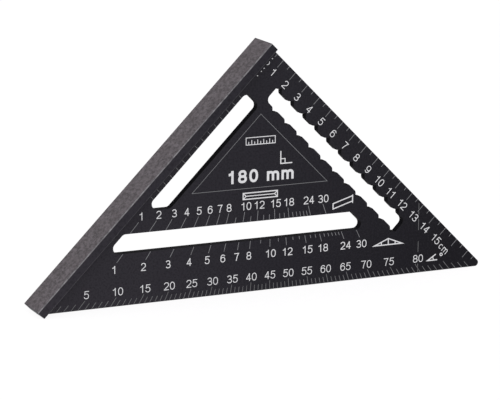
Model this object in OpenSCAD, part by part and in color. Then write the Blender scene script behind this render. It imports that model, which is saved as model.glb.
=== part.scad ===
// Metric rafter square: a right-angled blade whose tongue sits in a grooved fence, with its printed scales.
// It stands on its long edge. X runs along the long edge from the fence to the far tip, +Y goes from the
// marked face to the plain face, and +Z is up. The origin is on the long edge, straight below the pivot.
// All sizes are in millimetres. "u" is the distance from the pivot along the ruled leg, and "v" is the
// distance from the pivot along the fence.

/* [Blade] */
// Length of both legs, from the pivot to the sharp corners of the long edge
leg_length = 183.4; // [183:0.1:186]
// Thickness of the blade
blade_thickness = 4.4; // [3:0.1:6]
// Radius of the far tip
tip_radius = 2; // [1:0.1:4]
// Radius of the corners of the plain cut-outs
corner_radius = 3; // [1:0.1:3.5]

/* [Fence] */
// Thickness of the fence bar, measured along the ruled leg
fence_thickness = 5.1; // [3:0.1:8]
// Width of the fence bar, measured square to the blade
fence_width = 21; // [16:0.1:30]
// Depth of the groove that holds the tongue of the blade
groove_depth = 2; // [1.95:0.05:2.5]
// Thickness of the tongue, which narrows from the blade's own thickness over a slanted seat
tongue_thickness = 2.8; // [2.2:0.1:2.8]
// Chamfer on the long edges of the fence bar
fence_chamfer = 0.4; // [0.1:0.1:0.8]

/* [Cut-out beside the fence] */
// Distance from the fence face to the near side of the cut-out
fence_slot_start = 6.25; // [5.5:0.05:8]
// Width of the cut-out
fence_slot_width = 10.35; // [8:0.05:11]
// Distance from the ruled edge to the top of the cut-out
fence_slot_top = 26.1; // [25.5:0.1:28]
// Sum of the leg distances on its slanted lower end
fence_slot_end = 113.7; // [110:0.1:114]

/* [Cut-out above the long edge] */
// Sum of the leg distances on its upper side
long_slot_upper = 130; // [129.5:0.1:131]
// Width of the cut-out
long_slot_width = 10; // [8:0.1:10.5]
// Distance from the ruled edge to its cut end
long_slot_top = 31; // [30:0.1:33]

/* [Notched cut-out] */
// Distance from the fence face to its near end
notch_slot_start = 17.5; // [16.9:0.1:17.7]
// Distance from the ruled edge to its upper side
notch_slot_top = 13.4; // [13.3:0.1:13.6]
// Width between the crests
notch_slot_width = 8.1; // [7:0.1:8.2]
// Depth of a scribing notch
notch_depth = 2.2; // [1:0.1:2.2]
// Half of the width of a scribing notch
notch_half_width = 2.4; // [1.5:0.1:2.4]
// Distance between notches on one side
notch_pitch = 10; // [10:1:10]
// Number of notches on each side
notch_count = 11; // [5:1:11]
// Radius of its two round corners
notch_slot_radius = 3; // [1:0.1:3]

/* [Marks] */
// Height of the marks above the blade
mark_height = 0.1; // [0.05:0.01:0.2]
// Width of a graduation line
line_width = 0.3; // [0.2:0.05:0.4]
// Height of the numerals
numeral_height = 4.2; // [3.6:0.1:4.4]
// Stroke width of the numerals of the pitch scales
numeral_stroke = 0.45; // [0.35:0.05:0.6]
// Stroke width of the numerals along the ruled edge and the long edge
fine_stroke = 0.4; // [0.35:0.05:0.6]
// Stroke width of the bold symbols
bold_stroke = 0.7; // [0.4:0.05:0.8]
// Length of a whole-centimetre line on the ruled edge
centimetre_line = 5.1; // [4:0.1:5.3]
// Length of a half-centimetre line on the ruled edge
half_centimetre_line = 2.3; // [1.5:0.1:3.5]
// Length of a five-degree line on the long edge
five_degree_line = 4.9; // [4:0.1:5.1]
// Length of a one-degree line on the long edge
one_degree_line = 3.4; // [2:0.1:3.8]

/* [Hidden] */
arc = 64;                                   // above 12, so circles stay true circles
root2 = sqrt(2);
pivot_height = leg_length / root2;          // height of the pivot above the long edge
edge_gap = 0.3;                             // marks stop this far from every cut edge
fence_grey = [0.40, 0.38, 0.40];
blade_black = [0.13, 0.13, 0.14];
mark_white = [0.85, 0.85, 0.86];
mark_grey = [0.55, 0.55, 0.57];
seat_depth = min((blade_thickness - tongue_thickness) / 2, groove_depth * 0.9);
long_slot_lower = long_slot_upper + long_slot_width * root2;
notch_slot_bottom = notch_slot_top + notch_slot_width;
first_notch = 20;                           // notches fall on whole and half centimetres
notch_slot_end = first_notch + notch_pitch * (notch_count - 0.5) + (first_notch - notch_slot_start);
notch_power = 1.4;                          // above 1, so a notch's shoulders are rounded
notch_steps = 5;
// Drops below the pivot, measured square to the long edge
hip_row = 83.25;
common_row = 110.1;
degree_row = 121.8;
panel_left = 20.3;                          // panel border lines, as leg distances
panel_top = 28.5;
panel_sum = 104.44;
panel_centre = -5.8;                        // middle of the panel along X

// ---- frames ----

// 2D front view, with x as u and y as minus v
module on_legs() {
    translate([0, pivot_height]) rotate(-45) children();
}

// 3D, with x as u, y as Y and z as minus v
module leg_frame() {
    translate([0, 0, pivot_height]) rotate([0, 45, 0]) children();
}

// Raises a 2D front view of a mark from the marked face
module raised() {
    translate([0, -blade_thickness / 2, 0]) rotate([90, 0, 0]) linear_extrude(mark_height) children();
}

// ---- rounded convex outlines ----

function unit(v) = v / norm(v);
function turn_left(v) = [-v[1], v[0]];
function corner_half(a, b, c) = acos(unit(a - b) * unit(c - b)) / 2;
function tangent_run(a, b, c, r) = r / tan(corner_half(a, b, c));
function corner_centre(a, b, c, r) =
    b + unit(unit(a - b) + unit(c - b)) * r / sin(corner_half(a, b, c));
function corner_points(a, b, c, r) =
    r == 0 ? [b] : [b + unit(a - b) * tangent_run(a, b, c, r), b + unit(c - b) * tangent_run(a, b, c, r)];

// A convex outline whose corner i has the radius r[i], with 0 for a sharp corner
module rounded(p, r) {
    n = len(p);
    polygon([for (i = [0:n - 1]) each corner_points(p[(i + n - 1) % n], p[i], p[(i + 1) % n], r[i])]);
    for (i = [0:n - 1])
        if (r[i] > 0)
            translate(corner_centre(p[(i + n - 1) % n], p[i], p[(i + 1) % n], r[i])) circle(r[i], $fn = arc);
}

// What a corner at b loses when it is rounded to the radius r
module corner_scrap(a, b, c, r) {
    over = b - unit(unit(a - b) + unit(c - b)) * r;
    difference() {
        polygon([b + unit(a - b) * tangent_run(a, b, c, r), over, b + unit(c - b) * tangent_run(a, b, c, r)]);
        translate(corner_centre(a, b, c, r)) circle(r, $fn = arc);
    }
}

// ---- cut-outs, in the leg view ----

module fence_slot() {
    far = fence_slot_start + fence_slot_width;
    rounded([[fence_slot_start, -fence_slot_top], [far, -fence_slot_top],
             [far, far - fence_slot_end], [fence_slot_start, fence_slot_start - fence_slot_end]],
            [corner_radius, corner_radius, corner_radius, corner_radius]);
}

module long_slot() {
    rounded([[fence_slot_start, fence_slot_start - long_slot_lower],
             [fence_slot_start, fence_slot_start - long_slot_upper],
             [long_slot_upper - long_slot_top, -long_slot_top],
             [long_slot_lower - long_slot_top, -long_slot_top]],
            [corner_radius, corner_radius, corner_radius, corner_radius]);
}

// One scribing notch as a fan of points from one shoulder to the other, pointing along +y times side
function notch(x, y, side) = [for (i = [-notch_steps:notch_steps])
    [x + side * notch_half_width * i / notch_steps,
     y + side * notch_depth * pow(1 - abs(i) / notch_steps, notch_power)]];

module notch_slot() {
    corner = notch_slot_radius;
    // upper side from the near end, then the lower side back again
    union() {
        polygon(concat(
            [[notch_slot_start, -notch_slot_bottom + corner], [notch_slot_start, -notch_slot_top]],
            [for (k = [0:notch_count - 1]) each notch(first_notch + k * notch_pitch, -notch_slot_top, 1)],
            [[notch_slot_end - corner, -notch_slot_top], [notch_slot_end, -notch_slot_top - corner],
             [notch_slot_end, -notch_slot_bottom]],
            [for (k = [notch_count - 1:-1:0])
                each notch(first_notch + (k + 0.5) * notch_pitch, -notch_slot_bottom, -1)],
            [[notch_slot_start + corner, -notch_slot_bottom]]));
        translate([notch_slot_start + corner, corner - notch_slot_bottom]) circle(corner, $fn = arc);
        translate([notch_slot_end - corner, -notch_slot_top - corner]) circle(corner, $fn = arc);
    }
}

// ---- the two solid pieces ----

// Half of the cross-section of the tongue and of its groove, from the deep end to the joint line. The
// seat is slanted, so the blade's face and the fence's face both end at the joint line.
seat_points = [[-groove_depth, tongue_thickness / 2], [-seat_depth, tongue_thickness / 2],
               [0, blade_thickness / 2]];

function other_side(p) = [for (i = [len(p) - 1:-1:0]) [p[i][0], -p[i][1]]];

// Extrudes a cross-section, with x as u and y as Y, over the length of the fence
module along_fence() {
    leg_frame() translate([0, 0, -leg_length]) linear_extrude(leg_length) children();
}

module blade() {
    color(blade_black)
    union() {
        translate([0, blade_thickness / 2, 0]) rotate([90, 0, 0]) linear_extrude(blade_thickness) on_legs()
        difference() {
            polygon([[0, 0], [leg_length, 0], [0, -leg_length]]);
            corner_scrap([0, 0], [leg_length, 0], [0, -leg_length], tip_radius);
            fence_slot();
            long_slot();
            notch_slot();
        }
        along_fence() polygon(concat(seat_points, other_side(seat_points)));
    }
}

module fence() {
    c = fence_chamfer;
    h = fence_width / 2;
    color(fence_grey)
    along_fence()
    polygon(concat([[-fence_thickness + c, -h], [-c, -h], [0, c - h]], other_side(seat_points),
                   seat_points, [[0, h - c], [-c, h], [-fence_thickness + c, h],
                   [-fence_thickness, h - c], [-fence_thickness, c - h]]));
}

// ---- graduation lines ----

// A line along the ray at deg from the fence, between two drops below the pivot
module ray_line(deg, drop_a, drop_b) {
    lean = deg - 45;
    translate([0, pivot_height]) rotate(lean)
    translate([-line_width / 2, -drop_b / cos(lean)])
    square([line_width, (drop_b - drop_a) / cos(lean)]);
}

module centimetre_ticks() {
    color(mark_grey) raised() on_legs()
    for (k = [1:35]) {
        run = k % 2 == 0 ? centimetre_line : half_centimetre_line;
        translate([k * 5 - line_width / 2, -run]) square([line_width, run - edge_gap / 2]);
    }
}

module degree_ticks() {
    bottom = pivot_height - edge_gap;
    color(mark_grey) raised()
    for (d = [2:88])
        ray_line(d, pivot_height - (d % 5 == 0 ? five_degree_line : one_degree_line), bottom);
}

// A rafter pitch of n over the run makes this angle with the fence
function pitch_angle(n, run) = atan(n / run);
common_run = 10;
hip_run = 10 * root2;
long_pitches = [1, 2, 3, 4, 5, 6, 7, 8, 10, 12, 15, 18, 24, 30];
short_pitches = [9, 11, 13, 14, 16, 17, 19, 20, 21, 22, 23];

module common_ticks() {
    top = long_slot_lower / root2 + edge_gap;
    color(mark_grey) raised() {
        for (n = long_pitches) ray_line(pitch_angle(n, common_run), top, top + 4.2);
        for (n = short_pitches) ray_line(pitch_angle(n, common_run), top, top + 1.8);
    }
}

module hip_valley_ticks() {
    bottom = long_slot_upper / root2 - edge_gap;
    color(mark_grey) raised() {
        for (n = long_pitches) ray_line(pitch_angle(n, hip_run), bottom - 5.4, bottom);
        for (n = short_pitches) ray_line(pitch_angle(n, hip_run), bottom - 2.8, bottom);
    }
}

module fence_slot_ticks() {
    run = 2.4;
    color(mark_grey) raised() on_legs()
    for (v = [30:5:100])
        translate([fence_slot_start - run, -v - line_width / 2]) square([run - edge_gap, line_width]);
}

// A broken line square to the long edge, from the ruled edge down past the numeral 80. It is broken where
// it would cross other marks.
module tip_cross_line() {
    x = 89;
    stretches = [[90.9, 94.1], [95.5, 97.2], [99.9, 105.9], [112.2, 118.2], [124.6, 126.3], [127.9, 129.3]];
    color(mark_grey) raised()
    for (s = stretches)
        translate([x - line_width / 2, pivot_height - s[1]]) square([line_width, s[1] - s[0]]);
}

// A thin closed triangle, drawn as an outline of its own width inside an outer triangle
module panel_border() {
    w = line_width * 0.8;
    far = panel_sum - panel_top;
    low = panel_sum - panel_left;
    s = w * (1 + root2);
    color(mark_grey) raised() on_legs()
    difference() {
        polygon([[panel_left, -panel_top], [far, -panel_top], [panel_left, -low]]);
        polygon([[panel_left + w, -panel_top - w], [far - s, -panel_top - w], [panel_left + w, s - low]]);
    }
}

// ---- figures, drawn as strokes of even width with bevelled turns ----

// Points one side of an open stroke, at the distance d to its left
function stroke_side(p, d) = [for (i = [0:len(p) - 1])
    let (a = i == 0 ? unit(p[1] - p[0]) : unit(p[i] - p[i - 1]),
         b = i == len(p) - 1 ? a : unit(p[i + 1] - p[i]),
         m = turn_left(a) + turn_left(b))
    p[i] + d * m / (1 + a * b)];

// Points one side of a closed stroke
function loop_side(p, d) = [for (i = [0:len(p) - 1])
    let (n = len(p), a = unit(p[i] - p[(i + n - 1) % n]), b = unit(p[(i + 1) % n] - p[i]))
    p[i] + d * (turn_left(a) + turn_left(b)) / (1 + a * b)];

function backwards(p) = [for (i = [len(p) - 1:-1:0]) p[i]];

module open_stroke(p, s) {
    polygon(concat(stroke_side(p, s / 2), backwards(stroke_side(p, -s / 2))));
}

module closed_stroke(p, s) {
    difference() {
        polygon(loop_side(p, -s / 2));
        polygon(loop_side(p, s / 2));
    }
}

// Each glyph is a list of strokes, [closed, points], on a box that is 1 wide and 1 high.
// Closed strokes run anticlockwise.
bowl = [[.3, 0], [.7, 0], [1, .2], [1, .8], [.7, 1], [.3, 1], [0, .8], [0, .2]];
low_bowl = [[.3, 0], [.7, 0], [1, .16], [1, .42], [.7, .58], [.3, .58], [0, .42], [0, .16]];
high_bowl = [[.3, .53], [.7, .53], [.94, .66], [.94, .86], [.7, 1], [.3, 1], [.06, .86], [.06, .66]];
high_hook = [[0, .76], [0, .84], [.3, 1], [.7, 1], [.94, .86], [.94, .66], [.7, .53], [.4, .53]];
low_hook = [[.5, .53], [.7, .53], [1, .39], [1, .16], [.7, 0], [.3, 0], [0, .16], [0, .26]];
long_hook = [[.97, .84], [.7, 1], [.3, 1], [0, .8], [0, .18], [.3, 0], [.7, 0], [1, .16], [1, .42],
             [.7, .58], [.3, .58]];
short_link = [[.5, .58], [.3, .58], [.04, .44]];
open_bowl = [[1, .74], [1, .82], [.7, 1], [.3, 1], [0, .8], [0, .2], [.3, 0], [.7, 0], [1, .18], [1, .26]];

function turned(p) = [for (q = p) [1 - q[0], 1 - q[1]]];

function glyph(c) =
    c == "0" ? [[true, bowl]] :
    c == "1" ? [[false, [[.62, 0], [.62, 1]]], [false, [[.1, .7], [.58, .93]]]] :
    c == "2" ? [[false, [[0, .74], [0, .82], [.3, 1], [.7, 1], [1, .83], [1, .64], [0, .16], [0, 0],
                         [1, 0]]]] :
    c == "3" ? [[false, high_hook], [false, low_hook]] :
    c == "4" ? [[false, [[.74, 0], [.74, 1]]], [false, [[0, .26], [1, .26]]],
                [false, [[.02, .28], [.66, .94]]]] :
    c == "5" ? [[false, [[.94, 1], [.14, 1], [.05, .5]]],
                [false, [[.05, .52], [.3, .62], [.7, .62], [1, .44], [1, .17], [.7, 0], [.3, 0], [0, .16],
                         [0, .24]]]] :
    c == "6" ? [[false, long_hook], [false, short_link]] :
    c == "7" ? [[false, [[0, 1], [1, 1], [.56, .5], [.36, 0]]]] :
    c == "8" ? [[true, low_bowl], [true, high_bowl]] :
    c == "9" ? [[false, turned(long_hook)], [false, turned(short_link)]] :
    c == "c" ? [[false, open_bowl]] :
    c == "m" ? [[false, [[0, 0], [0, 1]]], [false, [[0, .76], [.16, 1], [.36, 1], [.5, .8], [.5, 0]]],
                [false, [[.5, .76], [.66, 1], [.86, 1], [1, .8], [1, 0]]]] :
    [];

gap_share = 0.2;                            // space between glyphs, as a share of their height
small_share = 0.72;                         // height of the small letters, as a share of the figures'

// Width of a glyph's box, as a share of the figures' height
function glyph_width(c) =
    c == "m" ? 0.92 :
    c == "c" ? 0.56 :
    c == " " ? 0.3 :
    0.65;

function glyph_height(c) = c == "m" || c == "c" ? small_share : 1;

function run_width(word, i, h, squeeze) =
    i < 0 ? 0 : run_width(word, i - 1, h, squeeze) + (glyph_width(word[i]) * squeeze + gap_share) * h;

module one_glyph(c, w, h, s) {
    for (k = glyph(c)) {
        p = [for (q = k[1]) [s / 2 + q[0] * (w - s), s / 2 + q[1] * (h - s)]];
        if (k[0]) closed_stroke(p, s);
        else open_stroke(p, s);
    }
}

// A number or a unit whose baseline middle is at the origin
module figures(word, h, s, squeeze = 1) {
    n = len(word);
    total = run_width(word, n - 1, h, squeeze) - gap_share * h;
    for (i = [0:n - 1])
        translate([run_width(word, i - 1, h, squeeze) - total / 2, 0])
        one_glyph(word[i], glyph_width(word[i]) * squeeze * h, glyph_height(word[i]) * h, s);
}

// Figures in the front view, with their middle at x and at the drop below the pivot
module placed(word, x, drop, h, s, squeeze = 1) {
    translate([x, pivot_height - drop - h / 2]) figures(word, h, s, squeeze);
}

module centimetre_numerals() {
    color(mark_white) raised() on_legs()
    for (k = [1:15])
        translate([k * 10, -6.35 - numeral_height]) figures(str(k), numeral_height, fine_stroke, 0.97);
}

module centimetre_unit() {
    color(mark_white) raised() on_legs()
    translate([157.5, -6.35 - numeral_height]) figures("cm", numeral_height, fine_stroke, 0.97);
}

// Shift of a figure along its row, as a share of the drop of the row
function lean_of(deg) = tan(deg - 45);

module degree_numerals() {
    last_shift = 2.8;                       // 80 stands clear of the ray at 80 degrees
    color(mark_white) raised()
    for (d = [5:5:80]) {
        drop = d < 45 ? 124 : 123;
        placed(str(d), lean_of(d) * drop + 0.2 + (d == 80 ? last_shift : 0), degree_row,
               numeral_height, fine_stroke);
    }
}

module common_numerals() {
    color(mark_white) raised()
    for (n = long_pitches)
        placed(str(n), lean_of(pitch_angle(n, common_run)) * 108 + (n < 10 ? -0.2 : 0.4), common_row,
               numeral_height, numeral_stroke);
}

module hip_valley_numerals() {
    color(mark_white) raised()
    for (n = long_pitches)
        placed(str(n), lean_of(pitch_angle(n, hip_run)) * 85.2 + (n > 3 && n < 10 ? -0.1 : 0.6), hip_row,
               numeral_height, numeral_stroke);
}

// The nominal size, in plain bold figures
module size_label() {
    color(mark_white) raised() placed("180 mm", panel_centre, 67.2, 7, 1.35, 1.1);
}

// ---- symbols, in the front view, each about its own origin ----

module symbol_at(x, drop) {
    color(mark_white) raised() translate([x, pivot_height - drop]) children();
}

// A ruler: a thin box with graduations
module ruler_symbol() {
    long = 17.2;
    high = 4.2;
    w = 0.4;
    teeth = 9;
    long_tooth = 2.5;
    short_tooth = 1.6;
    symbol_at(panel_centre - long / 2, 50.8) {
        closed_stroke([[w / 2, w / 2], [long - w / 2, w / 2], [long - w / 2, high - w / 2],
                       [w / 2, high - w / 2]], w);
        for (i = [1:teeth])
            translate([long * i / (teeth + 1) - w / 2, w / 2])
            square([w, i % 2 == 0 ? long_tooth : short_tooth]);
    }
}

// A plain right-angle sign over the size
module right_angle_symbol() {
    side = 7;
    corner = 2.8;
    w = 0.6;
    symbol_at(5.6, 62.3) {
        open_stroke([[w / 2, side], [w / 2, w / 2], [side, w / 2]], w);
        open_stroke([[w, corner], [corner, corner], [corner, w]], w * 0.8);
    }
}

// A hip roof seen from above: a plate whose four openings leave its outline, ridge and four hips
module hip_roof_symbol() {
    w = bold_stroke * 0.85;
    rib = w * 0.4;
    x = 10.2 - w;
    y = 1.95 - w;
    gap = rib * root2;
    symbol_at(panel_centre, 77.9)
    difference() {
        square([2 * (x + w), 2 * (y + w)], center = true);
        for (side = [-1, 1]) {
            polygon([[side * x, y - gap], [side * x, gap - y], [side * (x - y + gap), 0]]);
            polygon([[gap - x, side * y], [x - gap, side * y], [x - y + rib - gap, side * rib],
                     [y - x - rib + gap, side * rib]]);
        }
    }
}

// A roof frame seen from the front: two rafters, a tie and three posts
module common_rafter_symbol() {
    half = 8.4;
    high = 3.4;
    w = bold_stroke * 0.85;
    post = [[-half / 2, high / 2], [0, high], [half / 2, high / 2]];
    symbol_at(70.65, 112.2) {
        closed_stroke([[-half, 0], [half, 0], [0, high]], w);
        for (p = post)
            translate([p[0] - w / 2, 0]) square([w, p[1]]);
    }
}

// The head of a rafter, cut upright at its upper end
module top_cut_symbol() {
    long = 11.6;
    rise = 3.4;
    deep = 2.9;
    w = bold_stroke * 0.85;
    symbol_at(37, 89.4) {
        closed_stroke([[0, 0], [long, rise], [long, rise + deep], [0, deep]], w);
        translate([long - w / 2, rise - 1]) square([w, deep + 1.6]);
    }
}

// An angle between two lines, and a degree ring
module angle_symbol() {
    base = 6;
    opening = 32;
    reach = 3.6;
    ring = 0.95;
    w = bold_stroke * 0.85;
    arc_steps = 6;
    symbol_at(95, 123.9) {
        open_stroke([[base, w / 2], [0, w / 2], [base * cos(opening), w / 2 + base * sin(opening)]], w);
        open_stroke([for (i = [0:arc_steps]) let (t = opening * i / arc_steps)
                        [reach * cos(t), w / 2 + reach * sin(t)]], w * 0.8);
        translate([8.4, 3]) difference() {
            circle(ring, $fn = arc);
            circle(ring - w * 0.8, $fn = arc);
        }
    }
}

// A swing sign beside the fence, near the pivot: a bowed stroke in a row of dots
module pivot_symbol() {
    dot = 0.5;
    w = 0.35;
    bow = 1.1;
    arc_steps = 6;
    color(mark_white) raised() on_legs() {
        for (v = [3.8, 10.5, 12.6, 15.7])
            translate([4.55 - dot / 2, -v - dot / 2]) square(dot);
        open_stroke([for (i = [0:arc_steps]) let (t = -70 + 140 * i / arc_steps)
                        [4 + bow * cos(t), bow * sin(t) - 7.1]], w);
    }
}

fence();
blade();
centimetre_ticks();
centimetre_numerals();
centimetre_unit();
degree_ticks();
degree_numerals();
angle_symbol();
common_ticks();
common_numerals();
common_rafter_symbol();
hip_valley_ticks();
hip_valley_numerals();
hip_roof_symbol();
top_cut_symbol();
ruler_symbol();
size_label();
right_angle_symbol();
panel_border();
pivot_symbol();
fence_slot_ticks();
tip_cross_line();
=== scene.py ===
import math

import bmesh
import bpy
from mathutils import Matrix, Vector
from mathutils.geometry import delaunay_2d_cdt


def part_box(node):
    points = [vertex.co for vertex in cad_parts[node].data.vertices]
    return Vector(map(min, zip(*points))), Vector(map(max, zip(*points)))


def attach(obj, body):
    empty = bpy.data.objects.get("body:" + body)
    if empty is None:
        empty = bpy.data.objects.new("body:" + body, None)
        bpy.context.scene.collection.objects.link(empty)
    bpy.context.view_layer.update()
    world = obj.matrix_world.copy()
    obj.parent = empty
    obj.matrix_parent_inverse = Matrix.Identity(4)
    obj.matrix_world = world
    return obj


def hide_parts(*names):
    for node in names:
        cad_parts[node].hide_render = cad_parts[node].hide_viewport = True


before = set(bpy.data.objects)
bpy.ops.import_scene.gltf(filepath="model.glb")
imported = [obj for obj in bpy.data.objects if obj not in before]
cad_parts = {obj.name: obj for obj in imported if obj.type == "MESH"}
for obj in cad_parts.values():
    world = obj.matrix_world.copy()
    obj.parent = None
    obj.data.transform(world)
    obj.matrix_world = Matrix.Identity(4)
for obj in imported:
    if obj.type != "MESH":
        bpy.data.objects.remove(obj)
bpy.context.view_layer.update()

MM = 0.001
ROOT2 = math.sqrt(2)
BODY = "root"

# ---- sizes ----

LEG = 183.4 * MM                            # both legs, from the pivot
PIVOT_HEIGHT = LEG / ROOT2
HALF_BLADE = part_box("blade")[1].y
HALF_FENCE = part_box("fence")[1].y
FENCE_THICK = 5.1 * MM
GROOVE_DEPTH = 2 * MM
HALF_TONGUE = 1.4 * MM
SEAT_DEPTH = HALF_BLADE - HALF_TONGUE       # the seat between blade and tongue slants at 45 degrees
BLADE_ROUNDING = 0.25 * MM                  # rounding of every edge of the blade
OUTER_ROUNDING = 0.6 * MM                   # rounding of the fence's long edges on its outer face
LIP_ROUNDING = 0.7 * MM                     # rounding of its long edges beside the blade
FENCE_END_ROUNDING = 0.3 * MM
ROUNDING_STEPS = 4
CREASE = math.radians(40)                   # edges that turn by more than this stay sharp
PRINT_THICKNESS = 0.05 * MM
WELD = 1e-6                                 # points closer than this are one point
ON_PLANE = 10 * WELD                        # points closer than this to a plane lie in it
OUTWARD = Vector((-1, 0, 1)) / ROOT2        # from the fence face out through the fence

# ---- camera ----

CAMERA_PLACE = Vector((-0.56126, -1.18645, 0.34781))
CAMERA_AZIMUTH = -24.893
CAMERA_ELEVATION = 12.867
CAMERA_ROLL = 0.366
CAMERA_LENS = 184.11
SENSOR_WIDTH = 36


def add_camera():
    a = math.radians(CAMERA_AZIMUTH)
    e = math.radians(CAMERA_ELEVATION)
    roll = math.radians(CAMERA_ROLL)
    back = Vector((math.sin(a) * math.cos(e), -math.cos(a) * math.cos(e), math.sin(e)))
    level = Vector((math.cos(a), math.sin(a), 0))
    right = level * math.cos(roll) + back.cross(level) * math.sin(roll)
    up = back.cross(right)
    data = bpy.data.cameras.new("camera")
    data.lens = CAMERA_LENS
    data.sensor_width = SENSOR_WIDTH
    camera = bpy.data.objects.new("camera", data)
    camera.matrix_world = Matrix((
        (right.x, up.x, back.x, CAMERA_PLACE.x),
        (right.y, up.y, back.y, CAMERA_PLACE.y),
        (right.z, up.z, back.z, CAMERA_PLACE.z),
        (0, 0, 0, 1)))
    bpy.context.scene.collection.objects.link(camera)
    bpy.context.scene.camera = camera


# ---- light and floor ----

STUDIO_COLOUR = (0.99, 0.985, 1.0, 1)
STUDIO_STRENGTH = 0.8
LIGHT_TARGET = Vector((0, 0, 0.05))
LEFT_LIGHT_PLACE = Vector((-1.5, 0.1, 1.4))
LEFT_LIGHT_SIDE = 1.0                       # of a square light
LEFT_LIGHT_WATTS = 8
LEFT_LIGHT_COLOUR = (1, 0.99, 0.98)
FRONT_LIGHT_PLACE = Vector((-0.4, -1.7, 1.5))
FRONT_LIGHT_SIDE = 1.2
FRONT_LIGHT_WATTS = 6
FRONT_LIGHT_COLOUR = (1, 1, 1)
HALF_FLOOR = 8.0


def add_softbox(name, place, side, watts, colour):
    data = bpy.data.lights.new(name, "AREA")
    data.shape = "RECTANGLE"
    data.size = side
    data.size_y = side
    data.energy = watts
    data.color = colour
    light = bpy.data.objects.new(name, data)
    light.location = place
    light.rotation_mode = "QUATERNION"
    light.rotation_quaternion = (LIGHT_TARGET - place).to_track_quat("-Z", "Y")
    bpy.context.scene.collection.objects.link(light)


def add_world():
    world = bpy.data.worlds.new("studio")
    world.use_nodes = True
    background = world.node_tree.nodes["Background"]
    background.inputs["Color"].default_value = STUDIO_COLOUR
    background.inputs["Strength"].default_value = STUDIO_STRENGTH
    bpy.context.scene.world = world
    bpy.context.scene.view_settings.view_transform = "Standard"


def add_lights():
    add_softbox("left_softbox", LEFT_LIGHT_PLACE, LEFT_LIGHT_SIDE, LEFT_LIGHT_WATTS, LEFT_LIGHT_COLOUR)
    add_softbox("front_softbox", FRONT_LIGHT_PLACE, FRONT_LIGHT_SIDE, FRONT_LIGHT_WATTS,
                FRONT_LIGHT_COLOUR)


def add_floor():
    signs = ((-1, -1), (1, -1), (1, 1), (-1, 1))
    corners = [(x * HALF_FLOOR, y * HALF_FLOOR, 0) for x, y in signs]
    mesh = bpy.data.meshes.new("floor")
    mesh.from_pydata(corners, [], [(0, 1, 2, 3)])
    floor = bpy.data.objects.new("floor", mesh)
    mesh.materials.append(floor_material())
    bpy.context.scene.collection.objects.link(floor)


# ---- materials ----

# The black anodised metal, with painted sheen and painted shade graded over it
BLACK = (0.0124, 0.0110, 0.0164)
# Painted sheen: the black lighter towards the fence's foot
BLACK_PAINTED_SHEEN_AT_FOOT = (0.0274, 0.0244, 0.0314)
# Painted shade: the black darker towards the tip
BLACK_PAINTED_SHADE_AT_TIP = (0.0026, 0.0018, 0.0048)
# Lighter grains, and the painted sheen that lightens the black upwards
BLACK_LIGHTER = (0.0300, 0.0285, 0.0340)
BLACK_GRAIN = (0.0030, 0.0027, 0.0046)
BLACK_PIT = (0.0040, 0.0036, 0.0060)
BLACK_CLOUD = (0.0085, 0.0078, 0.0120)
# Painted shade: the cut faces round the slots and edges are darker than the face
CUT_FACE_PAINTED_SHADE = (0.0055, 0.0050, 0.0066)
# Painted shade: a darker black along the blade's rounded edges
BLADE_EDGE_PAINTED_SHADE = (0.014, 0.0135, 0.015)
# The outer face of the fence: a sandy grain, in a lighter grey that is a painted sheen over the black
GREY_DARK = (0.032, 0.026, 0.029)
GREY_LIGHT = (0.128, 0.112, 0.123)
GREY_SPECK = (0.125, 0.113, 0.123)
GREY_STREAK = (0.068, 0.056, 0.059)
# Edge colour of the fence: wear, and a painted highlight along its front edge and lip
FENCE_EDGE_WEAR_AND_HIGHLIGHT = (0.260, 0.250, 0.262)
# Even colour and thinner spots of each ink
WHITE_INK = ((0.74, 0.74, 0.75), (0.52, 0.52, 0.54))
GREY_INK = ((0.21, 0.21, 0.22), (0.12, 0.12, 0.125))
FAINT_INK = ((0.15, 0.15, 0.155), (0.08, 0.08, 0.083))
# The table
FLOOR_DARK = (0.085, 0.085, 0.087)
FLOOR_LIGHT = (0.105, 0.105, 0.107)
FLOOR_GLOW = (1, 0.995, 1, 1)
# Widths of the grains of each noise
FINE_GRAIN = 0.5 * MM
FENCE_GRAIN = 1.7 * MM
FENCE_STREAKS = 6 * MM
FENCE_CLOUDS = 40 * MM
BLADE_GRAIN = 1.1 * MM
BLADE_CLOUDS = 45 * MM
WEAR_SPOTS = 2.5 * MM
INK_GRAIN = 0.4 * MM
INK_PATCHES = 6 * MM
FLOOR_FIBRES = 4 * MM
# Where the painted sheen and painted shade on the black start and end along X and up Z
FOOT_X = -0.12
MIDDLE_X = 0.0
TIP_X = 0.11
LOW_Z = 0.01
HIGH_Z = 0.12
# Strength of the reflections
METAL_SPECULAR = 0.12
GREY_SPECULAR = 0.16
CUT_SPECULAR = 0.005


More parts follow.
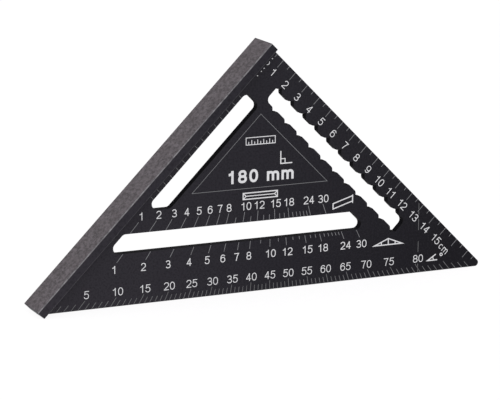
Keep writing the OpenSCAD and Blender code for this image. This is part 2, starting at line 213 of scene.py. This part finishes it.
class Shader:
    """A material under construction: its nodes, links and one Principled shader."""

    def __init__(self, name):
        self.material = bpy.data.materials.new(name)
        self.material.use_nodes = True
        self.tree = self.material.node_tree
        self.principled = self.tree.nodes["Principled BSDF"]
        self.place = self.node("ShaderNodeTexCoord").outputs["Object"]

    def node(self, kind, **settings):
        made = self.tree.nodes.new(kind)
        for key, value in settings.items():
            setattr(made, key, value)
        return made

    def link(self, source, target):
        self.tree.links.new(source, target)

    def set(self, **values):
        for key, value in values.items():
            self.principled.inputs[key.replace("_", " ")].default_value = value

    def noise(self, size, detail=3.0, rough=0.5, stretch=(1, 1, 1)):
        """Noise whose grains are about size metres wide, from 0 to 1."""
        mapping = self.node("ShaderNodeMapping")
        mapping.inputs["Scale"].default_value = [s / size for s in stretch]
        self.link(self.place, mapping.inputs["Vector"])
        noise = self.node("ShaderNodeTexNoise")
        noise.inputs["Scale"].default_value = 1.0
        noise.inputs["Detail"].default_value = detail
        noise.inputs["Roughness"].default_value = rough
        self.link(mapping.outputs["Vector"], noise.inputs["Vector"])
        return noise.outputs["Fac"]

    def ranged(self, source, low, high, to_low, to_high):
        """Maps low..high to to_low..to_high, and holds the ends."""
        made = self.node("ShaderNodeMapRange", clamp=True)
        made.inputs["From Min"].default_value = low
        made.inputs["From Max"].default_value = high
        made.inputs["To Min"].default_value = to_low
        made.inputs["To Max"].default_value = to_high
        self.link(source, made.inputs["Value"])
        return made.outputs["Result"]

    def times(self, a, b):
        made = self.node("ShaderNodeMath", operation="MULTIPLY")
        self.link(a, made.inputs[0])
        self.link(b, made.inputs[1])
        return made.outputs["Value"]

    def blend(self, share, low, high):
        """Colour low where share is 0, and high where it is 1. Each is a colour or an output."""
        made = self.node("ShaderNodeMix", data_type="RGBA")
        self.link(share, made.inputs["Factor"])
        for key, value in ((6, low), (7, high)):
            if isinstance(value, tuple):
                made.inputs[key].default_value = (*value, 1)
            else:
                self.link(value, made.inputs[key])
        return made.outputs[2]

    def along(self, axis):
        """The object's own coordinate along X, Y or Z, in metres."""
        made = self.node("ShaderNodeSeparateXYZ")
        self.link(self.place, made.inputs["Vector"])
        return made.outputs[axis]

    def marked(self, name):
        """The value that the mesh stores under that name."""
        return self.node("ShaderNodeAttribute", attribute_name=name).outputs["Fac"]

    def edge_wear(self):
        """1 along the rounded edges of a piece, broken up so that it isn't an even line: wear, with painted
        highlight on the fence and painted shade on the blade.
        """
        spots = self.ranged(self.noise(WEAR_SPOTS), 0.35, 0.7, 0.35, 1)
        return self.times(self.marked("edge_wear"), spots)

    def bump(self, source, depth, strength=1.0, under=None):
        made = self.node("ShaderNodeBump")
        made.inputs["Strength"].default_value = strength
        made.inputs["Distance"].default_value = depth
        self.link(source, made.inputs["Height"])
        if under is not None:
            self.link(under, made.inputs["Normal"])
        return made.outputs["Normal"]

    def colour(self, source):
        self.link(source, self.principled.inputs["Base Color"])

    def roughness(self, source):
        self.link(source, self.principled.inputs["Roughness"])

    def specular(self, source):
        self.link(source, self.principled.inputs["Specular IOR Level"])

    def normal(self, source):
        self.link(source, self.principled.inputs["Normal"])


def black_metal(s, fine, grain, cloud):
    """Colour of the black anodised metal, with painted sheen and painted shade over it: lighter at the
    fence's foot and upwards, darker at the tip.
    """
    foot = s.ranged(s.along("X"), FOOT_X, MIDDLE_X, 1, 0)
    tip = s.ranged(s.along("X"), MIDDLE_X, TIP_X, 0, 1)
    # Painted sheen towards the foot, painted shade towards the tip, painted sheen upwards
    base = s.blend(foot, BLACK, BLACK_PAINTED_SHEEN_AT_FOOT)
    base = s.blend(tip, base, BLACK_PAINTED_SHADE_AT_TIP)
    base = s.blend(s.ranged(s.along("Z"), LOW_Z, HIGH_Z, 0, 0.18), base, BLACK_LIGHTER)
    light = s.blend(s.ranged(grain, 0.48, 0.62, 0, 0.22), base, BLACK_LIGHTER)
    grained = s.blend(s.ranged(grain, 0.38, 0.50, 0.40, 0), light, BLACK_GRAIN)
    pitted = s.blend(s.ranged(fine, 0.55, 0.8, 0, 0.5), grained, BLACK_PIT)
    return s.blend(s.ranged(cloud, 0.4, 0.75, 0, 0.15), pitted, BLACK_CLOUD)


def fence_material():
    """Black anodised bar whose broad outer face has a sandy grain and is painted a lighter grey, a painted
    sheen.
    """
    s = Shader("fence_black_and_grey")
    fine = s.noise(FINE_GRAIN, detail=2, rough=0.6)
    coarse = s.noise(FENCE_GRAIN, detail=4, rough=0.7, stretch=(1, 0.6, 1))
    streak = s.noise(FENCE_STREAKS, detail=3, rough=0.6, stretch=(1, 0.5, 1))
    cloud = s.noise(FENCE_CLOUDS, detail=2)
    grey = s.blend(s.ranged(coarse, 0.38, 0.62, 0, 1), GREY_DARK, GREY_LIGHT)
    grey = s.blend(s.ranged(fine, 0.4, 0.7, 0, 0.35), grey, GREY_SPECK)
    grey = s.blend(s.ranged(streak, 0.4, 0.75, 0, 0.35), grey, GREY_STREAK)
    outer = s.marked("outer_face")
    # Painted sheen: the broad outer face takes the lighter grey, the rest the black
    body = s.blend(outer, black_metal(s, fine, coarse, cloud), grey)
    # Edge colour: wear, and a painted highlight along the front edge and the lip
    s.colour(s.blend(s.edge_wear(), body, FENCE_EDGE_WEAR_AND_HIGHLIGHT))
    s.specular(s.ranged(outer, 0, 1, METAL_SPECULAR, GREY_SPECULAR))
    s.roughness(s.ranged(coarse, 0.3, 0.7, 0.46, 0.62))
    s.normal(s.bump(coarse, 0.05 * MM, 0.5, s.bump(fine, 0.02 * MM, 0.6)))
    return s.material


def blade_material():
    """Black anodised metal, satin, with a faint grain. The cut edges take a darker black, a painted shade.
    """
    s = Shader("blade_black_anodised")
    fine = s.noise(FINE_GRAIN, detail=2, rough=0.6)
    grain = s.noise(BLADE_GRAIN, detail=4, rough=0.65)
    cloud = s.noise(BLADE_CLOUDS, detail=3)
    cut = s.marked("cut_face")
    # Painted shade: the cut faces take the darker black
    body = s.blend(cut, black_metal(s, fine, grain, cloud), CUT_FACE_PAINTED_SHADE)
    # Painted shade: a darker black along the blade's rounded edges
    s.colour(s.blend(s.edge_wear(), body, BLADE_EDGE_PAINTED_SHADE))
    s.specular(s.ranged(cut, 0, 1, METAL_SPECULAR, CUT_SPECULAR))
    s.roughness(s.ranged(cloud, 0.3, 0.7, 0.40, 0.50))
    s.normal(s.bump(grain, 0.02 * MM, 0.35, s.bump(fine, 0.012 * MM, 0.5)))
    return s.material


def ink_material(name, ink):
    """Thin printed marking: even colour, with slightly thinner spots where the grain shows through."""
    full, worn = ink
    s = Shader(name)
    s.set(Metallic=0.0, Specular_IOR_Level=0.2)
    grain = s.noise(INK_GRAIN, detail=3, rough=0.6)
    patch = s.noise(INK_PATCHES, detail=2)
    tone = s.blend(s.ranged(grain, 0.52, 0.78, 0, 0.7), full, worn)
    s.colour(s.blend(s.ranged(patch, 0.45, 0.8, 0, 0.35), tone, worn))
    s.roughness(s.ranged(grain, 0.3, 0.7, 0.5, 0.66))
    s.normal(s.bump(grain, 0.01 * MM, 0.4))
    return s.material


def floor_material():
    """A lit white table: it glows a little, so shadows on it stay faint."""
    s = Shader("floor_pale_table")
    s.set(Specular_IOR_Level=0.05, Roughness=0.9, Emission_Strength=0.93)
    s.principled.inputs["Emission Color"].default_value = FLOOR_GLOW
    fibre = s.noise(FLOOR_FIBRES, detail=4)
    s.colour(s.blend(s.ranged(fibre, 0.3, 0.7, 0, 1), FLOOR_DARK, FLOOR_LIGHT))
    s.normal(s.bump(fibre, 0.05 * MM, 0.2))
    return s.material


# ---- solid pieces, built round their outlines ----

OUTLINE_WELD = 1e-5                         # points of an outline closer than this are one, in millimetres
MITRE_LIMIT = 0.25                          # keeps the mitre of a sharp corner short
CUT_SLOPE = 0.75                            # a face of the blade is a cut edge below this share of Y
FACING = 0.99                               # a face of the fence is its outer one above this share
END_WEAR = 0.1                              # wear of the rims at the fence's two ends


def outlines_of(node, y):
    """Closed outlines of the flat face of a CAD node at that y, as lists of (x, z)."""
    bm = bmesh.new()
    bm.from_mesh(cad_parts[node].data)
    bmesh.ops.remove_doubles(bm, verts=bm.verts, dist=WELD)
    cap = {f for f in bm.faces if all(abs(v.co.y - y) < ON_PLANE for v in f.verts)}
    rim = [e for e in bm.edges if sum(f in cap for f in e.link_faces) == 1]
    beside = {}
    for e in rim:
        for v in e.verts:
            beside.setdefault(v, []).append(e.other_vert(v))
    found = []
    left = dict.fromkeys(v for e in rim for v in e.verts)
    while left:
        start = next(iter(left))
        loop = [start]
        del left[start]
        while True:
            ahead = [v for v in beside[loop[-1]] if v in left]
            if not ahead:
                break
            loop.append(ahead[0])
            del left[ahead[0]]
        found.append([Vector((v.co.x, v.co.z)) for v in loop])
    bm.free()
    return found


def area(loop):
    return sum(p.x * q.y - q.x * p.y for p, q in zip(loop, loop[1:] + loop[:1])) / 2


def material_on_left(loops):
    """The largest outline anticlockwise, and the others, which are holes, clockwise."""
    loops = sorted(loops, key=lambda loop: -abs(area(loop)))
    turned = []
    for i, loop in enumerate(loops):
        wrong = area(loop) < 0 if i == 0 else area(loop) > 0
        turned.append(loop[::-1] if wrong else loop)
    return turned


def inset(loop, distance):
    """The outline moved into the material on its left, with mitred corners."""
    moved = []
    for i, p in enumerate(loop):
        a = (p - loop[i - 1]).normalized()
        b = (loop[(i + 1) % len(loop)] - p).normalized()
        left = Vector((-a.y - b.y, a.x + b.x))
        moved.append(p + left * distance / max(1 + a.dot(b), MITRE_LIMIT))
    return moved


def rounded_rows(half, rounding, wear=1.0):
    """(depth, inset, worn) rows through a plate whose two rims are rounded, from one face to the other;
    worn is the share of edge wear and painted light on each row.
    """
    rim = []
    for k in range(ROUNDING_STEPS + 1):
        t = math.pi / 2 * k / ROUNDING_STEPS
        worn = 0.0 if k in (0, ROUNDING_STEPS) else wear
        rim.append((half - rounding * (1 - math.cos(t)), rounding * (1 - math.sin(t)), worn))
    near = [(-depth, back, worn) for depth, back, worn in rim]
    return near + rim[::-1]


def fill(loops):
    """Triangles between an outline and its holes, as indices into the points of all the loops."""
    points = [p / MM for loop in loops for p in loop]
    faces = []
    first = 0
    for loop in loops:
        face = list(range(first, first + len(loop)))
        faces.append(face if area(loop) > 0 else face[::-1])
        first += len(loop)
    _, _, triangles, same, _, inside = delaunay_2d_cdt(points, [], faces, 0, OUTLINE_WELD)
    return [[same[i][0] for i in t] for t, owners in zip(triangles, inside) if list(owners) == [0]]


def plate(loops, worn, rows, place):
    """A closed mesh through the rows of each loop. place turns (a, b, depth) into a point.

    worn has a share of edge wear and painted light for each point of each loop.
    """
    bm = bmesh.new()
    layer = bm.verts.layers.float.new("edge_wear")
    caps = [[], []]
    for loop, marks in zip(loops, worn):
        rings = []
        for depth, back, row_worn in rows:
            ring = []
            for p, point_worn in zip(inset(loop, back), marks):
                v = bm.verts.new(place(p.x, p.y, depth))
                v[layer] = max(row_worn, point_worn)
                ring.append(v)
            rings.append(ring)
        for low, high in zip(rings, rings[1:]):
            for i in range(len(low)):
                j = (i + 1) % len(low)
                bm.faces.new((low[i], low[j], high[j], high[i]))
        caps[0] += rings[0]
        caps[1] += rings[-1]
    for t in fill([inset(loop, rows[0][1]) for loop in loops]):
        bm.faces.new([caps[0][i] for i in t])
        bm.faces.new([caps[1][i] for i in reversed(t)])
    bmesh.ops.recalc_face_normals(bm, faces=bm.faces)
    return bm


def mark_faces(bm, name, test):
    """Stores 1 on the faces whose normal passes the test, and 0 on the others."""
    layer = bm.faces.layers.float.new(name)
    bm.normal_update()
    for f in bm.faces:
        f[layer] = 1.0 if test(f.normal) else 0.0


def add_piece(name, bm, material, nodes):
    mesh = bpy.data.meshes.new(name)
    bm.to_mesh(mesh)
    bm.free()
    mesh.materials.append(material)
    piece = bpy.data.objects.new(name, mesh)
    bpy.context.scene.collection.objects.link(piece)
    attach(piece, BODY)
    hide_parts(*nodes)
    return piece


def shade_with_crisp_faces(piece):
    """Smooth shading that keeps large faces flat and true corners sharp."""
    piece.data.shade_smooth()
    piece.data.set_sharp_from_angle(angle=CREASE)
    weighted = piece.modifiers.new("face_normals", "WEIGHTED_NORMAL")
    weighted.keep_sharp = True


def front_place(x, z, y):
    return Vector((x, y, z))


def add_blade():
    loops = material_on_left(outlines_of("blade", -HALF_BLADE))
    rows = rounded_rows(HALF_BLADE, BLADE_ROUNDING)
    bm = plate(loops, [[0.0] * len(loop) for loop in loops], rows, front_place)
    add_tongue(bm)
    mark_faces(bm, "cut_face", lambda normal: abs(normal.y) < CUT_SLOPE)
    piece = add_piece("blade_plate", bm, blade_material(), ["blade"])
    shade_with_crisp_faces(piece)


def along_leg(point):
    """Distance of a point from the fence's face, along the ruled leg."""
    return (point.x + PIVOT_HEIGHT - point.z) / ROOT2


def add_tongue(bm):
    """Draws the flat of the blade's inner edge out into the groove of the fence, narrower past the seat."""
    strip = [f for f in bm.faces if all(abs(along_leg(v.co)) < ON_PLANE for v in f.verts)]
    for run in (SEAT_DEPTH, GROOVE_DEPTH - SEAT_DEPTH):
        drawn = bmesh.ops.extrude_face_region(bm, geom=strip)["geom"]
        bmesh.ops.delete(bm, geom=strip, context="FACES_ONLY")
        strip = [g for g in drawn if isinstance(g, bmesh.types.BMFace)]
        for v in {v for f in strip for v in f.verts}:
            v.co += OUTWARD * run
            v.co.y = math.copysign(HALF_TONGUE, v.co.y)
    bmesh.ops.recalc_face_normals(bm, faces=bm.faces)


def fence_place(u, y, v):
    """A point at u from the pivot along the ruled leg and v from the middle of the fence along it."""
    v = v + LEG / 2
    return Vector(((u - v) / ROOT2, y, PIVOT_HEIGHT - (u + v) / ROOT2))


def fence_outline():
    """Cross-section of the fence: a bar with four rounded corners and a groove, and where it carries wear
    and painted highlight.
    """
    points = []
    worn = []
    # u and y, the rounding, the angle it starts at, and the wear and painted highlight at each step round
    # it
    corners = [(0, HALF_FENCE, LIP_ROUNDING, 0, (0, 0, 0, 0.2, 0)),
               (-FENCE_THICK, HALF_FENCE, OUTER_ROUNDING, 90, (0, 0.1, 0.1, 0.1, 0)),
               # the outer front edge: a painted highlight along it
               (-FENCE_THICK, -HALF_FENCE, OUTER_ROUNDING, 180, (0, 1, 1, 1, 0)),
               # the lip beside the blade: a thin painted highlight
               (0, -HALF_FENCE, LIP_ROUNDING, 270, (0, 0.2, 0, 0, 0))]
    for u, y, r, start, wear in corners:
        centre = Vector((u + r if u else -r, y - math.copysign(r, y)))
        for k, share in enumerate(wear):
            t = math.radians(start + 90 * k / ROUNDING_STEPS)
            points.append(centre + Vector((math.cos(t), math.sin(t))) * r)
            worn.append(share)
    for u, y in ((0, -HALF_BLADE), (-SEAT_DEPTH, -HALF_TONGUE), (-GROOVE_DEPTH, -HALF_TONGUE),
                 (-GROOVE_DEPTH, HALF_TONGUE), (-SEAT_DEPTH, HALF_TONGUE), (0, HALF_BLADE)):
        points.append(Vector((u, y)))
        worn.append(0.0)
    return points, worn


def add_fence():
    points, worn = fence_outline()
    rows = rounded_rows(LEG / 2, FENCE_END_ROUNDING, END_WEAR)
    bm = plate([points], [worn], rows, fence_place)
    mark_faces(bm, "outer_face", lambda normal: normal.dot(OUTWARD) > FACING)
    piece = add_piece("fence_bar", bm, fence_material(), ["fence"])
    shade_with_crisp_faces(piece)


# ---- figures, drawn as strokes of even width and cut flush at each figure's box ----

PAST = 0.35                                 # how far a stroke runs past its box, to be cut flush
STROKE_MITRE_LIMIT = 0.4


def arc(cx, cy, rx, ry, start, end, power=2.25):
    """Points along a rounded-square curve between two angles, in degrees."""
    steps = max(4, round(abs(end - start) / 12))
    points = []
    for i in range(steps + 1):
        t = math.radians(start + (end - start) * i / steps)
        c = math.cos(t)
        s = math.sin(t)
        points.append((cx + rx * math.copysign(abs(c) ** (2 / power), c),
                       cy + ry * math.copysign(abs(s) ** (2 / power), s)))
    return points


def curve(a, b, c, steps=6):
    """Points along a curve from a to c that leans towards b."""
    shares = [i / steps for i in range(steps + 1)]
    return [tuple((1 - t) ** 2 * p + 2 * t * (1 - t) * q + t * t * r for p, q, r in zip(a, b, c))
            for t in shares]


def ring(cx, cy, rx, ry):
    return arc(cx, cy, rx, ry, 0, 360)


LOW = -PAST
HIGH = 1 + PAST
STEM = [(0, LOW), (0, HIGH)]
SIX = [ring(0.5, 0.325, 0.5, 0.325), [(0, 0.3), *arc(0.53, 0.5, 0.53, 0.5, 180, 36)]]
# Centre lines of the strokes, in a box that is 1 wide and 1 high
GLYPHS = {
    "0": [ring(0.5, 0.5, 0.5, 0.5)],
    "1": [[(0.68, LOW), (0.68, HIGH)], arc(0.1, 1.04, 0.56, 0.28, -90, -12)],
    "2": [[*arc(0.5, 0.7, 0.5, 0.3, 170, -30), (0.56, 0.33), (0.18, 0.15), (0.02, 0)],
          [(LOW, 0), (HIGH, 0)]],
    "3": [arc(0.48, 0.755, 0.44, 0.245, 166, -90), [(0.34, 0.51), *arc(0.5, 0.255, 0.5, 0.255, 90, -166)]],
    "4": [[(0.74, LOW), (0.74, HIGH)], [(LOW, 0.26), (HIGH, 0.26)], [(0.0, 0.27), (0.72, 1.0)]],
    "5": [[(HIGH, 1), (0.2, 1), (0.1, 0.5)], arc(0.48, 0.33, 0.52, 0.33, 142, -166)],
    "6": SIX,
    "7": [[(LOW, 1), (HIGH, 1)], curve((0.98, 0.98), (0.5, 0.6), (0.34, LOW))],
    "8": [ring(0.5, 0.755, 0.44, 0.245), ring(0.5, 0.26, 0.5, 0.26)],
    "9": [[(1 - x, 1 - y) for x, y in stroke] for stroke in SIX],
    "c": [arc(0.5, 0.5, 0.5, 0.5, 42, 318)],
    "m": [STEM, [(0, 0.6), *arc(0.25, 0.66, 0.25, 0.34, 180, 0), (0.5, LOW)],
          [(0.5, 0.6), *arc(0.75, 0.66, 0.25, 0.34, 180, 0), (1, LOW)]],
    " ": [],
}
WIDTHS = {"m": 0.92, "c": 0.56, " ": 0.3}
DIGIT_WIDTH = 0.655
SMALL = "cm"                                # letters drawn lower than a figure
SMALL_HEIGHT = 0.74                         # of them, as a share of a figure's height


def glyph_width(c):
    return WIDTHS.get(c, DIGIT_WIDTH)


def ribbon(points, width):
    """Quads of an even stroke along its centre line."""
    sides = []
    last = len(points) - 1
    closed = (points[0] - points[last]).length < WELD
    for i, p in enumerate(points):
        before = points[i - 1] if i else points[last - 1 if closed else 0]
        after = points[i + 1] if i < last else points[1 if closed else last]
        a = (p - before).normalized()
        b = (after - p).normalized()
        a = a if a.length else b
        b = b if b.length else a
        side = Vector((-a.y - b.y, a.x + b.x)) * width / 2 / max(1 + a.dot(b), STROKE_MITRE_LIMIT)
        sides.append((p + side, p - side))
    return [(s[0], t[0], t[1], s[1]) for s, t in zip(sides, sides[1:])]


GLYPH_CACHE = {}
GLYPH_WELD = 1e-3                           # points of a figure closer than this are one, in millimetres


def glyph_faces(c, width, height, stroke):
    """A figure or letter as (points, triangles), in millimetres from the lower left corner of its box."""
    key = (c, round(width, 4), height, stroke)
    if key not in GLYPH_CACHE:
        box = [Vector((0, 0)), Vector((width, 0)), Vector((width, height)), Vector((0, height))]
        quads = []
        for line in GLYPHS[c]:
            centre = [Vector((stroke / 2 + x * (width - stroke), stroke / 2 + y * (height - stroke)))
                      for x, y in line]
            quads += ribbon(centre, stroke)
        quads = [quad if area(quad) > 0 else quad[::-1] for quad in quads]
        points = box + [p for quad in quads for p in quad]
        faces = [list(range(4 * i, 4 * i + 4)) for i in range(len(quads) + 1)]
        placed, _, triangles, _, _, inside = delaunay_2d_cdt(points, [], faces, 0, GLYPH_WELD)
        kept = [t for t, owners in zip(triangles, inside) if 0 in owners and len(owners) > 1]
        GLYPH_CACHE[key] = (placed, kept)
    return GLYPH_CACHE[key]


class Print:
    """One layer of marking on the face of the blade, in millimetres in the front view."""

    def __init__(self):
        self.bm = bmesh.new()

    def faces(self, points, triangles):
        """Raises flat triangles from the blade, each group with its own walls."""
        used = sorted({i for t in triangles for i in t})
        base = {i: self.bm.verts.new(self.at(points[i], 0)) for i in used}
        top = {i: self.bm.verts.new(self.at(points[i], PRINT_THICKNESS)) for i in used}
        sides = {}
        for t in triangles:
            self.bm.faces.new([top[i] for i in t])
            self.bm.faces.new([base[i] for i in reversed(t)])
            for i, j in zip(t, t[1:] + t[:1]):
                sides[i, j] = sides.get((i, j), 0) + 1
        for i, j in sides:
            if (j, i) not in sides:
                self.bm.faces.new((top[i], base[i], base[j], top[j]))

    def at(self, p, rise):
        return Vector((p.x * MM, -HALF_BLADE - rise, p.y * MM))

    def word(self, letters, origin, height, stroke, squeeze=1.0, gap=0.2, angle=0.0):
        """Letters whose baseline has its middle at origin, turned by angle degrees about it."""
        spans = [glyph_width(c) * squeeze * height for c in letters]
        total = sum(spans) + gap * height * (len(letters) - 1)
        turn = Matrix.Rotation(math.radians(angle), 2)
        x = -total / 2
        for c, span in zip(letters, spans):
            tall = height * SMALL_HEIGHT if c in SMALL else height
            points, triangles = glyph_faces(c, span, tall, stroke)
            placed = [Vector(origin) + turn @ (p + Vector((x, 0))) for p in points]
            self.faces(placed, [list(t) for t in triangles])
            x += span + gap * height

    def finish(self, name, material, slot, nodes):
        bmesh.ops.recalc_face_normals(self.bm, faces=self.bm.faces)
        add_piece(name, self.bm, material, nodes)


PIVOT_MM = PIVOT_HEIGHT / MM
NUMERAL_HEIGHT = 4.2
PITCH_STROKE = 0.45                         # of the numerals on the pitch scales
EDGE_STROKE = 0.4                           # of the numerals along the ruled edge and the long edge
NUMERAL_GAP = 0.14
RULER_ROW = 6.35 + NUMERAL_HEIGHT           # baseline of the ruler's figures, from the ruled edge
TWO_FIGURES_BACK = 0.3                      # how far the ruler's numbers of two figures stand back
UNIT_HEIGHT = 3.8
UNIT_STROKE = 0.38
UNIT_ROW = RULER_ROW + 0.3
UNIT_PLACE = 157.3                          # middle of the unit sign along the ruled leg
RULER_TURN = -45                            # the ruler's figures stand square to its edge
DEGREE_ROW = 121.8                          # middle of each row of numbers, as a drop below the pivot
COMMON_ROW = 110.1
HIP_ROW = 83.25
LEFT_DEGREE_DROP = 124                      # a number stands under its ray as it is at this drop
RIGHT_DEGREE_DROP = 123
DEGREE_SHIFT = 0.2
LAST_DEGREE = 80
LAST_DEGREE_SHIFT = 2.8                     # 80 stands clear of its ray
COMMON_DROP = 108
HIP_DROP = 85.2
PITCHES = (1, 2, 3, 4, 5, 6, 7, 8, 10, 12, 15, 18, 24, 30)
COMMON_RUN = 10                             # a pitch of n is n over 10
HIP_RUN = 10 * ROOT2
SIZE_X = -5.8
SIZE_DROP = 67.2
SIZE_HEIGHT = 7.0
SIZE_STROKE = 1.35
SIZE_SQUEEZE = 1.1


def leg_point(u, v):
    """Front-view point at u from the pivot along the ruled leg and v along the fence."""
    return ((u - v) / ROOT2, PIVOT_MM - (u + v) / ROOT2)


def lean(degrees):
    """How far a ray leans from the upright, as a share of its drop, at degrees from the fence."""
    return math.tan(math.radians(degrees - 45))


def pitch_lean(n, run):
    return lean(math.degrees(math.atan(n / run)))


class Row:
    """A row of numbers at one drop below the pivot."""

    def __init__(self, drop, stroke):
        self.print = Print()
        self.baseline = PIVOT_MM - drop - NUMERAL_HEIGHT / 2
        self.stroke = stroke

    def number(self, n, x):
        self.print.word(str(n), (x, self.baseline), NUMERAL_HEIGHT, self.stroke, gap=NUMERAL_GAP)

    def finish(self, name, white, node):
        self.print.finish(name, white, "figures", [node])


def add_numerals(white):
    ruler = Print()
    for k in range(1, 16):
        back = TWO_FIGURES_BACK if k > 9 else 0
        place = leg_point(k * 10 - back, RULER_ROW)
        ruler.word(str(k), place, NUMERAL_HEIGHT, EDGE_STROKE, gap=NUMERAL_GAP, angle=RULER_TURN)
    ruler.finish("centimetre_numbers", white, "figures", ["centimetre_numerals"])

    degrees = Row(DEGREE_ROW, EDGE_STROKE)
    for d in range(5, LAST_DEGREE + 1, 5):
        drop = LEFT_DEGREE_DROP if d < 45 else RIGHT_DEGREE_DROP
        shift = LAST_DEGREE_SHIFT if d == LAST_DEGREE else 0
        degrees.number(d, lean(d) * drop + DEGREE_SHIFT + shift)
    degrees.finish("degree_numbers", white, "degree_numerals")

    common = Row(COMMON_ROW, PITCH_STROKE)
    for n in PITCHES:
        shift = -0.2 if n < 10 else 0.4
        common.number(n, pitch_lean(n, COMMON_RUN) * COMMON_DROP + shift)
    common.finish("common_numbers", white, "common_numerals")

    hip = Row(HIP_ROW, PITCH_STROKE)
    for n in PITCHES:
        shift = -0.1 if 3 < n < 10 else 0.6
        hip.number(n, pitch_lean(n, HIP_RUN) * HIP_DROP + shift)
    hip.finish("hip_valley_numbers", white, "hip_valley_numerals")


def add_labels(white):
    unit = Print()
    unit.word("cm", leg_point(UNIT_PLACE, UNIT_ROW), UNIT_HEIGHT, UNIT_STROKE, angle=RULER_TURN)
    unit.finish("centimetre_word", white, "figures", ["centimetre_unit"])
    size = Print()
    baseline = PIVOT_MM - SIZE_DROP - SIZE_HEIGHT / 2
    size.word("180 mm", (SIZE_X, baseline), SIZE_HEIGHT, SIZE_STROKE, SIZE_SQUEEZE)
    size.finish("size_figures", white, "figures", ["size_label"])


LINE_NODES = ("centimetre_ticks", "common_ticks", "hip_valley_ticks", "panel_border")
FAINT_NODES = ("degree_ticks", "fence_slot_ticks", "tip_cross_line")
SYMBOL_NODES = ("angle_symbol", "common_rafter_symbol", "hip_roof_symbol", "top_cut_symbol",
                "ruler_symbol", "right_angle_symbol", "pivot_symbol")


def finish_cad_marks(grey, faint, white):
    """Lines and symbols keep their CAD shape and take a printed finish."""
    for names, ink in ((LINE_NODES, grey), (FAINT_NODES, faint), (SYMBOL_NODES, white)):
        for name in names:
            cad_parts[name].material_slots[0].material = ink


# ---- the scene ----

add_camera()
add_world()
add_lights()
add_floor()
add_fence()
add_blade()
white_ink = ink_material("white_print", WHITE_INK)
grey_ink = ink_material("grey_print", GREY_INK)
faint_ink = ink_material("faint_print", FAINT_INK)
add_numerals(white_ink)
add_labels(white_ink)
finish_cad_marks(grey_ink, faint_ink, white_ink)
